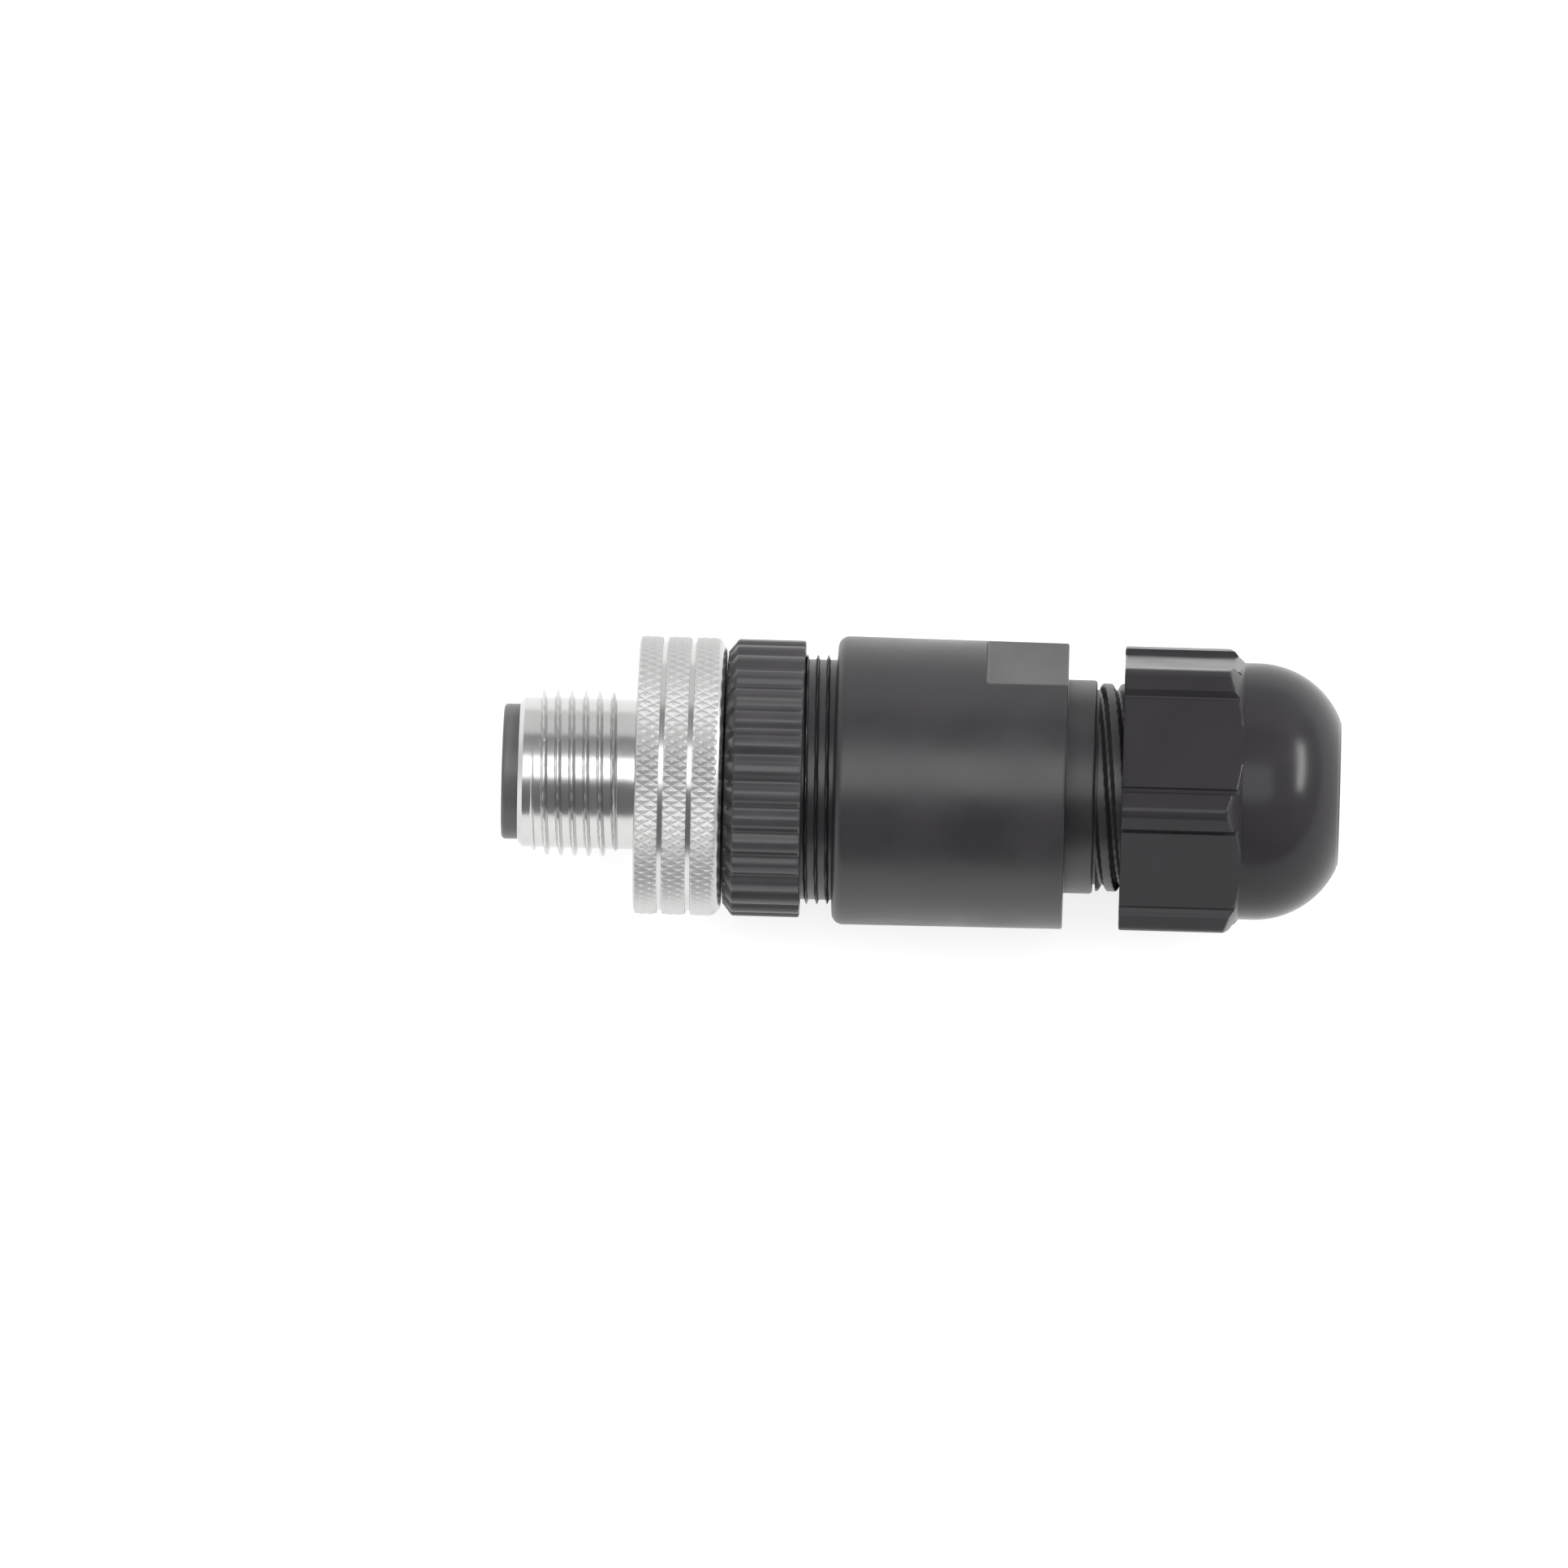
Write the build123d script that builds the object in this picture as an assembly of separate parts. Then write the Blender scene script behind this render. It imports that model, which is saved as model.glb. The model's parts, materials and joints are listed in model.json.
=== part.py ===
from build123d import *
import os
from math import atan2, cos, degrees, radians, sin, sqrt, tan

# Field-wireable M12 connector with a cable gland, lying on its side, in millimetres.
# +X runs along the axis from the plug end to the cable end, +Z is up.
# The origin is on the axis, at the front end of the M12 thread.

# Clearances
running_gap = 0.10
thread_gap = 0.08
seat_gap = 0.05
fit_gap = 0.02
small_round = 0.15

# Reach of cutting shapes past the faces that they open
overrun = 1.0

# Contacts
contact_count = 4
contact_circle_d = 5.6
pin_d = 1.0
pin_setback = 2.3
pin_tip_round = 0.35
barrel_d = 2.5
barrel_length = 11.3
wire_bore_d = 1.5
wire_bore_depth = 7.0

# Terminal screws
terminal_screw_d = 1.8
terminal_screw_place = 3.0
terminal_screw_tip = 0.5
terminal_screw_point = 0.225
terminal_screw_recess = 0.3
screw_slot_width = 0.35
screw_slot_depth = 0.5

# Contact insert: shroud, shoulder and terminal block
shroud_bore_d = 8.4
shroud_wall = 0.65
shroud_d = shroud_bore_d + 2 * shroud_wall
shroud_reach = 1.16
shroud_depth = 8.5
shroud_front_round = 0.3
code_key_width = 1.3
code_key_height = 0.6
code_key_root = 0.325
code_key_setback = 0.8
code_key_angle = 45
shoulder_step = 1.25
shoulder_d = shroud_d + 2 * shoulder_step
block_wall = 2.35
block_d = contact_circle_d + barrel_d + 2 * block_wall
block_length = 9.8
block_chamfer = 0.5
block_key_width = 1.6
block_key_length = 4.0
block_key_depth = 0.5

# Retaining ring, half in the shoulder and half in the coupling ring
retainer_width = 0.6
retainer_bite = 0.6
retainer_stand = 0.55
retainer_groove_d = shoulder_d - 2 * retainer_bite
retainer_d = shoulder_d + 2 * retainer_stand
retainer_place = 1.55
retainer_opening = 2.5

# Housing, from the bore round the terminal block outwards
block_gap = 0.55
housing_bore_d = block_d + 2 * block_gap
housing_wall = 2.0
front_thread_d = housing_bore_d + 2 * housing_wall
thread_end_chamfer = 0.3
exposed_thread = 2.33
body_step = 1.4
body_front_d = front_thread_d + 2 * body_step
body_taper = 0.1
body_rear_d = body_front_d - 2 * body_taper
body_length = 16.54
body_front_round = 1.1
body_rear_round = 0.15
wire_room_end_wall = 1.9
wire_room_cone = 1.6
passage_d = 8.8
flat_depth = 0.75
flat_across = body_rear_d - 2 * flat_depth
flat_length = 5.87
flat_angle = 46.0
flat_end_round = 0.25
neck_length = 2.09
neck_round = 0.25
neck_groove_width = 0.2

# Insert flange and guide in the housing's mouth, with the O-ring
insert_flange_overlap = 1.35
insert_flange_d = housing_bore_d + 2 * insert_flange_overlap
insert_flange_thickness = 1.2
guide_gap = 0.2
guide_length = 3.0
seal_ring_section = 1.0
seal_ring_place = 0.9

# Ribbed collar
collar_skirt = 0.92
collar_d = front_thread_d + 2 * (thread_gap + collar_skirt)
collar_length = 5.54
collar_wall = 1.0
collar_chamfer_length = 1.05
collar_chamfer_depth = 1.0
rib_count = 32
rib_groove_width = 1.1
rib_groove_depth = 0.4
rib_edge_round = 0.12

# Coupling ring: the M12 x 1 screw with its knurled flange
screw_wall = 0.42
screw_core_d = shroud_d + 2 * (running_gap + screw_wall)
screw_thread_height = 0.58
screw_thread_d = screw_core_d + 2 * screw_thread_height
screw_lead_length = 1.34
screw_lead_chamfer = 0.35
screw_thread_length = 5.47
screw_relief_length = 1.63
flange_step = 0.02
flange_d = collar_d + 2 * flange_step
flange_length = 6.26
flange_front_round = 0.3
flange_rear_round = 0.8
flange_web = 1.3
band_width = 1.68
band_groove_width = 0.36
band_groove_depth = 0.3

# Cable seal and the split cage round it
seal_d = 10.8
seal_length = 7.6
seal_bore_d = 6.0
seal_round = 0.25
cage_wall = 0.5
cage_d = seal_d + 2 * (running_gap + cage_wall)
cage_gap = 0.05
cage_base_length = 1.25
cage_ring_length = 1.4
cage_seal_cover = 1.61
cage_overhang = 3.0
cage_bead = 0.55
cage_bead_length = 1.0
finger_count = 8
finger_slot = 0.9

# Gland thread of the housing, round the cage
gland_bore_d = cage_d + 2 * cage_gap
gland_wall = 0.65
gland_core_d = gland_bore_d + 2 * gland_wall
gland_thread_height = 0.75
gland_thread_d = gland_core_d + 2 * gland_thread_height
neck_step = 0.2
neck_d = gland_thread_d + 2 * neck_step

# Pressure ring
pressure_ring_wall = 0.9
pressure_ring_d = cage_d + 2 * pressure_ring_wall
pressure_ring_mouth = 0.45
pressure_ring_cone_d = cage_d + 2 * pressure_ring_mouth
cable_clearance = 0.2
pressure_ring_bore_d = passage_d + 2 * cable_clearance
pressure_ring_length = 1.8
pressure_ring_land = 0.6
pressure_ring_travel = 1.1

# Gland nut: hexagon, corner lands, grooves beside them, dome
nut_standoff = 1.94
nut_wall = 1.65
hex_across = gland_thread_d + 2 * (thread_gap + nut_wall)
hex_length = 8.6
land_height = 0.32
land_across = hex_across + 2 * land_height
land_half_width = 1.0
land_round = 0.8
land_chamfer = 1.1
land_groove_width = 0.35
land_groove_depth = 0.2
nut_front_chamfer = 0.15
nut_corner_angle = 30.0
nut_thread_spare = 1.14
nut_room_gap = 0.3
nut_room_d = pressure_ring_d + 2 * nut_room_gap
nut_end_wall = 4.09
dome_step = 0.02
dome_base_d = hex_across + 2 * dome_step
dome_straight = 1.0
dome_end_rim = 0.82
dome_end_round = 0.2
cable_hole_d = 8.6

# Stations along the axis, each from the one before it
x_thread_end = screw_thread_length
x_screw_front = -screw_lead_length
x_shroud_front = x_screw_front - shroud_reach
x_flange = x_thread_end + screw_relief_length
x_flange_end = x_flange + flange_length
x_shoulder_seat = x_flange + flange_web
x_retainer = x_shoulder_seat + retainer_place
x_collar = x_flange_end + running_gap
x_collar_room = x_collar + collar_wall
x_collar_end = x_collar + collar_length
x_insert_flange = x_collar_room + seat_gap
x_insert_flange_end = x_insert_flange + insert_flange_thickness
x_housing_front = x_insert_flange_end + seat_gap
x_guide_end = x_insert_flange_end + guide_length
x_block_end = x_guide_end + block_length
x_body = x_collar_end + exposed_thread
x_body_end = x_body + body_length
x_wire_room_end = x_body_end - wire_room_end_wall
x_neck_end = x_body_end + neck_length
x_gland_thread = x_neck_end + neck_groove_width
x_cage = x_neck_end + fit_gap
x_seal = x_cage + cage_base_length + fit_gap
x_cage_end = x_seal + seal_length + cage_seal_cover
x_gland_end = x_cage_end - cage_overhang
x_pressure_ring = x_cage_end + pressure_ring_travel
x_pressure_ring_end = x_pressure_ring + pressure_ring_length
x_nut = x_neck_end + nut_standoff
x_nut_thread_end = x_gland_end + nut_thread_spare
x_nut_seat = x_pressure_ring_end + seat_gap
x_dome = x_nut + hex_length
x_nut_end = x_nut_seat + nut_end_wall

# Radii that several pieces share
screw_bore_r = shroud_d / 2 + running_gap
shoulder_bore_r = shoulder_d / 2 + running_gap
guide_r = housing_bore_d / 2 - guide_gap
seal_ring_outer_r = housing_bore_d / 2 - running_gap
seal_ring_inner_r = seal_ring_outer_r - seal_ring_section
contact_circle_r = contact_circle_d / 2


def turned(corners):
    """Revolve a closed outline of (x, radius, corner rounding) points about the X axis."""
    points = [(x, r) for x, r, rounding in corners]
    roundings = [rounding for x, r, rounding in corners]
    outline = FilletPolyline(*points, radius=roundings, close=True)
    return revolve(make_face(outline), Axis.X)


def tube(x_start, x_end, r_outer, r_inner):
    """A plain ring about the X axis."""
    return turned([(x_start, r_inner, 0), (x_end, r_inner, 0), (x_end, r_outer, 0), (x_start, r_outer, 0)])


def rod(x_start, x_end, r, y=0.0, z=0.0):
    """A round bar parallel to the X axis."""
    axis_plane = Plane(origin=(x_start, y, z), z_dir=(1, 0, 0))
    return extrude(axis_plane * Circle(r), x_end - x_start)


def around_axis(shape, angle):
    """The shape turned about the X axis, from +Y towards +Z."""
    return shape.rotate(Axis.X, angle)


def section_on_axis(x_place):
    """A drawing plane across the axis whose local X is +Y and local Y is +Z."""
    return Plane(origin=(x_place, 0, 0), x_dir=(0, 1, 0), z_dir=(1, 0, 0))


def coupling_ring():
    """Threaded screw, relief, and the flange with three bands for the knurl."""
    r_core = screw_core_d / 2
    r_thread = screw_thread_d / 2
    r_flange = flange_d / 2
    body = turned([
        (x_screw_front, screw_bore_r, 0),
        (x_screw_front, r_core - screw_lead_chamfer, 0),
        (x_screw_front + screw_lead_chamfer, r_core, 0),
        (-screw_thread_height, r_core, 0),
        (0, r_thread, 0),
        (x_thread_end, r_thread, 0),
        (x_thread_end + screw_thread_height, r_core, 0),
        (x_flange, r_core, 0),
        (x_flange, r_flange, flange_front_round),
        (x_flange_end, r_flange, flange_rear_round),
        (x_flange_end, shoulder_bore_r, 0),
        (x_shoulder_seat, shoulder_bore_r, 0),
        (x_shoulder_seat, screw_bore_r, 0),
    ])
    for band in (1, 2):
        x_groove = x_flange + band * band_width + (band - 1) * band_groove_width
        body -= tube(x_groove, x_groove + band_groove_width, r_flange + overrun, r_flange - band_groove_depth)
    x_room = x_retainer - running_gap
    x_room_end = x_retainer + retainer_width + running_gap
    body -= tube(x_room, x_room_end, retainer_d / 2 + running_gap, screw_bore_r)
    return body


def retaining_ring():
    """Open spring ring, half in the insert's groove and half in the coupling ring's."""
    ring = tube(x_retainer, x_retainer + retainer_width, retainer_d / 2, retainer_groove_d / 2 + fit_gap)
    opening = Pos(x_retainer + retainer_width / 2, 0, retainer_d / 2) * Box(
        2 * retainer_width, retainer_opening, retainer_d / 2)
    return ring - opening


def contact_places():
    """Angle and centre (y, z) of each contact, the first one on +Y."""
    for index in range(contact_count):
        angle = 360 / contact_count * index
        yield angle, contact_circle_r * cos(radians(angle)), contact_circle_r * sin(radians(angle))


def contact_insert():
    """Keyed shroud, shoulder, clamped flange, seal groove and terminal block in one moulding."""
    r_bore = shroud_bore_d / 2
    x_floor = x_shroud_front + shroud_depth
    x_shoulder = x_shoulder_seat + running_gap
    x_seal_groove = x_insert_flange_end + seal_ring_place
    body = turned([
        (x_shroud_front, r_bore, 0),
        (x_shroud_front, shroud_d / 2, shroud_front_round),
        (x_shoulder, shroud_d / 2, 0),
        (x_shoulder, shoulder_d / 2, 0),
        (x_insert_flange, shoulder_d / 2, 0),
        (x_insert_flange, insert_flange_d / 2, small_round),
        (x_insert_flange_end, insert_flange_d / 2, small_round),
        (x_insert_flange_end, guide_r, 0),
        (x_guide_end, guide_r, 0),
        (x_guide_end, block_d / 2, 0),
        (x_block_end - block_chamfer, block_d / 2, 0),
        (x_block_end, block_d / 2 - block_chamfer, 0),
        (x_block_end, 0, 0),
        (x_floor, 0, 0),
        (x_floor, r_bore, 0),
    ])
    x_groove = x_retainer - fit_gap
    x_groove_end = x_retainer + retainer_width + fit_gap
    x_seal_groove_end = x_seal_groove + seal_ring_section + running_gap
    body -= tube(x_groove, x_groove_end, shoulder_d / 2 + overrun, retainer_groove_d / 2)
    body -= tube(x_seal_groove, x_seal_groove_end, guide_r + overrun, seal_ring_inner_r - fit_gap)
    body += code_key(x_floor, r_bore)
    body += turning_key(x_guide_end, x_guide_end + block_key_length, 0)
    for angle, y, z in contact_places():
        body -= rod(x_floor - overrun, x_block_end, pin_d / 2 + fit_gap, y, z)
        body -= rod(x_block_end - barrel_length, x_block_end + overrun, barrel_d / 2 + fit_gap, y, z)
        body -= around_axis(terminal_screw_hole(terminal_screw_d / 2 + running_gap), angle)
    return body


def code_key(x_floor, r_bore):
    """Rib on the shroud's inner wall that keys the plug to its socket."""
    x_start = x_shroud_front + code_key_setback
    length = x_floor - x_start
    height = code_key_height + code_key_root
    y_middle = r_bore + code_key_root - height / 2
    rib = Pos(x_start + length / 2, y_middle, 0) * Box(length, height, code_key_width)
    return around_axis(rib, code_key_angle)


def turning_key(x_start, x_end, gap):
    """Rib that stops the insert turning in the housing, or its slot when a gap is given."""
    r_low = block_d / 2 - overrun
    r_high = housing_bore_d / 2 + block_key_depth + gap
    bar = Pos((x_start + x_end) / 2, (r_low + r_high) / 2, 0) * Box(
        x_end - x_start, r_high - r_low, block_key_width + 2 * gap)
    return around_axis(bar, code_key_angle)


def terminal_screw_hole(r):
    """Radial cylinder on +Y at the place of a terminal screw, from the wire bore outwards."""
    x_place = x_block_end - terminal_screw_place
    y_start = contact_circle_r
    plane = Plane(origin=(x_place, y_start, 0), z_dir=(0, 1, 0))
    return extrude(plane * Circle(r), block_d / 2 + overrun - y_start)


def contact_pin(angle):
    """Turned contact: round-nosed pin, barrel with a wire bore, tapped hole for the clamp screw."""
    x_tip = x_shroud_front + pin_setback
    x_barrel = x_block_end - barrel_length + fit_gap
    r_pin = pin_d / 2
    r_barrel = barrel_d / 2
    body = turned([
        (x_tip, 0, 0),
        (x_tip, r_pin, pin_tip_round),
        (x_barrel, r_pin, 0),
        (x_barrel, r_barrel, 0),
        (x_block_end, r_barrel, small_round),
        (x_block_end, wire_bore_d / 2, 0),
        (x_block_end - wire_bore_depth, wire_bore_d / 2, 0),
        (x_block_end - wire_bore_depth, 0, 0),
    ])
    body = Pos(0, contact_circle_r, 0) * body
    body -= terminal_screw_hole(terminal_screw_d / 2 + fit_gap)
    return around_axis(body, angle)


def terminal_screw(angle):
    """Slotted grub screw that presses the wire in its barrel."""
    x_place = x_block_end - terminal_screw_place
    y_tip = contact_circle_r + terminal_screw_tip
    y_head = block_d / 2 - terminal_screw_recess
    plane = Plane(origin=(x_place, y_tip, 0), z_dir=(0, 1, 0))
    body = extrude(plane * Circle(terminal_screw_d / 2), y_head - y_tip)
    body = chamfer(body.faces().sort_by(Axis.Y)[0].edges(), terminal_screw_point)
    body -= Pos(x_place, y_head, 0) * Box(2 * terminal_screw_d, 2 * screw_slot_depth, screw_slot_width)
    return around_axis(body, angle)


def insert_seal():
    """O-ring in the insert's groove, just clear of the housing bore."""
    x_start = x_insert_flange_end + seal_ring_place + running_gap / 2
    r_section = seal_ring_section / 2
    section = Pos(x_start + r_section, seal_ring_inner_r + r_section) * Circle(r_section)
    return revolve(section, Axis.X)


def ribbed_collar():
    """Union ring: chamfered front, ribs to the rear face, front wall and threaded room."""
    r_outer = collar_d / 2
    r_room = front_thread_d / 2 + thread_gap
    groove_r = ((rib_groove_width / 2) ** 2 + rib_groove_depth ** 2) / (2 * rib_groove_depth)
    groove_centre_r = r_outer - rib_groove_depth + groove_r
    outline = Circle(r_outer)
    outline -= PolarLocations(groove_centre_r, rib_count) * Circle(groove_r)
    outline = fillet(outline.vertices(), rib_edge_round)
    ribs = extrude(section_on_axis(x_collar) * outline, collar_length)
    envelope = turned([
        (x_collar, shoulder_bore_r + running_gap, 0),
        (x_collar, r_outer - collar_chamfer_depth, small_round),
        (x_collar + collar_chamfer_length, r_outer + running_gap, 0),
        (x_collar_end, r_outer + running_gap, 0),
        (x_collar_end, r_room, 0),
        (x_collar_room, r_room, 0),
        (x_collar_room, shoulder_bore_r + running_gap, 0),
    ])
    return ribs & envelope


def housing():
    """Front thread tube, grip body with two wrench flats, neck and gland thread tube."""
    r_thread = front_thread_d / 2
    r_bore = housing_bore_d / 2
    r_gland = gland_thread_d / 2
    body = turned([
        (x_housing_front, r_bore, 0),
        (x_housing_front, r_thread - thread_end_chamfer, 0),
        (x_housing_front + thread_end_chamfer, r_thread, 0),
        (x_body, r_thread, 0),
        (x_body, body_front_d / 2, body_front_round),
        (x_body_end, body_rear_d / 2, body_rear_round),
        (x_body_end, neck_d / 2, 0),
        (x_neck_end, neck_d / 2, neck_round),
        (x_neck_end, gland_core_d / 2, 0),
        (x_gland_thread, gland_core_d / 2, 0),
        (x_gland_thread, r_gland, 0),
        (x_gland_end - thread_end_chamfer, r_gland, 0),
        (x_gland_end, r_gland - thread_end_chamfer, 0),
        (x_gland_end, gland_bore_d / 2, 0),
        (x_neck_end, gland_bore_d / 2, 0),
        (x_neck_end, passage_d / 2, 0),
        (x_wire_room_end + wire_room_cone, passage_d / 2, 0),
        (x_wire_room_end, r_bore, 0),
    ])
    x_slot_end = x_guide_end + block_key_length + running_gap
    body -= turning_key(x_housing_front - overrun, x_slot_end, running_gap)
    for side in (0, 180):
        body -= around_axis(wrench_flat_cut(), 90 - flat_angle + side)
    return body


def wrench_flat_cut():
    """Block that cuts one wrench flat on the +Y side, with a rounded inner end."""
    depth = body_front_d / 2 + overrun - flat_across / 2
    x_start = x_body_end - flat_length
    length = flat_length + overrun
    block = Pos(x_start + length / 2, flat_across / 2 + depth / 2, 0) * Box(length, depth, body_front_d)
    inner_edges = block.edges().filter_by(Axis.Z).sort_by(Axis.X)[:2]
    return fillet(inner_edges.sort_by(Axis.Y)[:1], flat_end_round)


def clamp_cage():
    """Base ring with a lip under the seal, and split fingers with a bead at their tips."""
    r_cage = cage_d / 2
    r_bead = r_cage + cage_bead
    x_bead = x_gland_end + fit_gap
    body = turned([
        (x_cage, passage_d / 2, 0),
        (x_cage, r_cage, small_round),
        (x_bead, r_cage, 0),
        (x_bead, r_bead, 0),
        (x_bead + cage_bead_length, r_bead, 0),
        (x_cage_end, r_cage, 0),
        (x_cage_end, r_cage - cage_wall, 0),
        (x_cage + cage_base_length, r_cage - cage_wall, 0),
        (x_cage + cage_base_length, passage_d / 2, 0),
    ])
    x_slot = x_cage + cage_base_length + cage_ring_length
    slot_length = x_cage_end - x_slot + overrun
    slot = Pos(x_slot + slot_length / 2, r_bead, 0) * Box(slot_length, 2 * r_bead, finger_slot)
    for index in range(finger_count):
        body -= around_axis(slot, 360 / finger_count * index)
    return body


def cable_seal():
    """Plain rubber sleeve with rounded rims, which the fingers press on the cable."""
    x_end = x_seal + seal_length
    return turned([
        (x_seal, seal_bore_d / 2, seal_round),
        (x_end, seal_bore_d / 2, seal_round),
        (x_end, seal_d / 2, seal_round),
        (x_seal, seal_d / 2, seal_round),
    ])


def pressure_ring():
    """Ring under the nut's dome, with a cone that closes the fingers of the cage."""
    return turned([
        (x_pressure_ring, pressure_ring_cone_d / 2, 0),
        (x_pressure_ring, pressure_ring_d / 2, 0),
        (x_pressure_ring_end, pressure_ring_d / 2, small_round),
        (x_pressure_ring_end, pressure_ring_bore_d / 2, 0),
        (x_pressure_ring_end - pressure_ring_land, pressure_ring_bore_d / 2, 0),
    ])


def nut_section():
    """Cross section of the nut: hexagon, raised rounded corner lands and a groove on each side of a land."""
    slope = tan(radians(30))
    land_tip = land_across / 2 / cos(radians(30))
    land_edge = land_tip - slope * land_half_width
    land_root = hex_across / 2 - overrun
    land = make_face(FilletPolyline(
        (land_root, -land_half_width), (land_edge, -land_half_width), (land_tip, 0),
        (land_edge, land_half_width), (land_root, land_half_width),
        radius=[0, 0, land_round, 0, 0], close=True))
    groove_y = land_half_width + land_groove_width / 2
    groove_floor = hex_across / 2 / cos(radians(30)) - slope * groove_y - land_groove_depth
    groove_height = land_tip - groove_floor
    groove = Rectangle(groove_height, land_groove_width)
    first_corner = 90 - nut_corner_angle
    hexagon = RegularPolygon(radius=hex_across / 2, side_count=6, major_radius=False)
    corner = hexagon.vertices()[0].center()
    outline = Rot(0, 0, first_corner - degrees(atan2(corner.Y, corner.X))) * hexagon
    for index in range(6):
        turn = Rot(0, 0, first_corner + 60 * index)
        outline += turn * land
        for side in (-1, 1):
            outline -= turn * Pos(groove_floor + groove_height / 2, side * groove_y) * groove
    return outline


def nut_envelope():
    """Round outer form of the nut: chamfered corners, short straight collar, arc and end face."""
    r_tip = land_across / 2 / cos(radians(30))
    r_base = dome_base_d / 2
    r_end = cable_hole_d / 2 + dome_end_rim
    x_arc = x_dome + dome_straight
    reach = x_nut_end - x_arc
    drop = r_base - r_end
    r_arc = (reach ** 2 + drop ** 2) / (2 * drop)
    r_half = r_base - r_arc + sqrt(r_arc ** 2 - (reach / 2) ** 2)
    crown = ThreePointArc((x_arc, r_base), (x_arc + reach / 2, r_half), (x_nut_end, r_end))
    rest = Polyline(
        (x_nut_end, r_end), (x_nut_end, 0), (x_nut, 0), (x_nut, r_tip - nut_front_chamfer),
        (x_nut + nut_front_chamfer, r_tip), (x_dome - land_chamfer, r_tip), (x_dome, r_base), (x_arc, r_base))
    return revolve(make_face([crown, rest]), Axis.X)


def gland_nut():
    """Six-sided cap nut with corner lands, a dome, a round cable hole and the room inside."""
    r_hole = cable_hole_d / 2
    bar = extrude(section_on_axis(x_nut) * nut_section(), x_nut_end - x_nut)
    body = bar & nut_envelope()
    room = turned([
        (x_nut - overrun, 0, 0),
        (x_nut - overrun, gland_thread_d / 2 + thread_gap, 0),
        (x_nut_thread_end, gland_thread_d / 2 + thread_gap, 0),
        (x_nut_thread_end, nut_room_d / 2, 0),
        (x_nut_seat, nut_room_d / 2, 0),
        (x_nut_seat, r_hole, 0),
        (x_nut_end + overrun, r_hole, 0),
        (x_nut_end + overrun, 0, 0),
    ])
    body -= room
    rims = body.edges().filter_by(GeomType.CIRCLE).group_by(Axis.X)[-1]
    return fillet(rims, dome_end_round)


def write_parts():
    """Build every piece and write it to a file with the piece's name."""
    pieces = {
        "coupling_ring": coupling_ring(),
        "retaining_ring": retaining_ring(),
        "contact_insert": contact_insert(),
        "insert_seal": insert_seal(),
        "ribbed_collar": ribbed_collar(),
        "housing": housing(),
        "clamp_cage": clamp_cage(),
        "cable_seal": cable_seal(),
        "pressure_ring": pressure_ring(),
        "gland_nut": gland_nut(),
    }
    for index, (angle, y, z) in enumerate(contact_places(), start=1):
        pieces[f"contact_pin_{index}"] = contact_pin(angle)
        pieces[f"terminal_screw_{index}"] = terminal_screw(angle)
    os.makedirs("parts", exist_ok=True)
    for name, piece in pieces.items():
        export_step(piece, f"parts/{name}.step")
        print(name, round(piece.volume, 3))


write_parts()
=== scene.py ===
import json
from math import acos, cos, degrees, pi, radians, sin, tan

import bpy
import numpy as np
from mathutils import Matrix, Vector


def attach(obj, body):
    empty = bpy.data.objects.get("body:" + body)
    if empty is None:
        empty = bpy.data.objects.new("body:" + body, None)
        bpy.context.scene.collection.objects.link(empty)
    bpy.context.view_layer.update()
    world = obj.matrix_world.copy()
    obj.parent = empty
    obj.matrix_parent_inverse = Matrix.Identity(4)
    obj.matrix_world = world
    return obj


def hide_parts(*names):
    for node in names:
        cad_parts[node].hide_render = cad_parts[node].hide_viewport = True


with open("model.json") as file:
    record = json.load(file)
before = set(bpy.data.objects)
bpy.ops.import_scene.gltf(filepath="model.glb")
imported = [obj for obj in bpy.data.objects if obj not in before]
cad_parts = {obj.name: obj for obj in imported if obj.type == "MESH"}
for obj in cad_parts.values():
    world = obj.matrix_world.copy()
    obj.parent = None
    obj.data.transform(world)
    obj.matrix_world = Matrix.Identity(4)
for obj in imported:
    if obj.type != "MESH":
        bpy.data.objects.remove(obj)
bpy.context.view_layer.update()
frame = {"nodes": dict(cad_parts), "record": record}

# Millimetres to metres
MM = 0.001

# View of the photograph: looking down at the long side, a little from the plug's right
VIEW_TILT = radians(20.7)
VIEW_YAW = radians(0.78)
VIEW_ROLL = radians(1.575)
VIEW_CENTRE_X = 17.67
VIEW_CENTRE_UP = -0.39
VIEW_DISTANCE = 1770.0
FRAME_WIDTH = 112.45
SENSOR = 36.0


def add_camera():
    """Long lens from above the front side, rolled as the photograph is."""
    up = Vector((0, cos(VIEW_TILT), sin(VIEW_TILT)))
    back = Vector((tan(VIEW_YAW), -sin(VIEW_TILT), cos(VIEW_TILT))).normalized()
    right = up.cross(back).normalized()
    up = back.cross(right)
    turned_right = right * cos(VIEW_ROLL) + up * sin(VIEW_ROLL)
    turned_up = up * cos(VIEW_ROLL) - right * sin(VIEW_ROLL)
    centre = Vector((VIEW_CENTRE_X, 0, 0)) + VIEW_CENTRE_UP * up
    place = (centre + back * VIEW_DISTANCE) * MM
    camera = bpy.data.objects.new("camera", bpy.data.cameras.new("camera"))
    camera.data.sensor_width = SENSOR
    camera.data.lens = SENSOR * VIEW_DISTANCE / FRAME_WIDTH
    camera.data.clip_start = 0.1
    camera.data.clip_end = 20.0
    axes = Matrix((turned_right, turned_up, back)).transposed().to_4x4()
    camera.matrix_world = Matrix.Translation(place) @ axes
    bpy.context.collection.objects.link(camera)
    bpy.context.scene.camera = camera


add_camera()
bpy.context.scene.view_settings.view_transform = "Standard"


# Shapes: closed shells of rings about the X axis. Angles go from +Y towards +Z.

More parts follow.
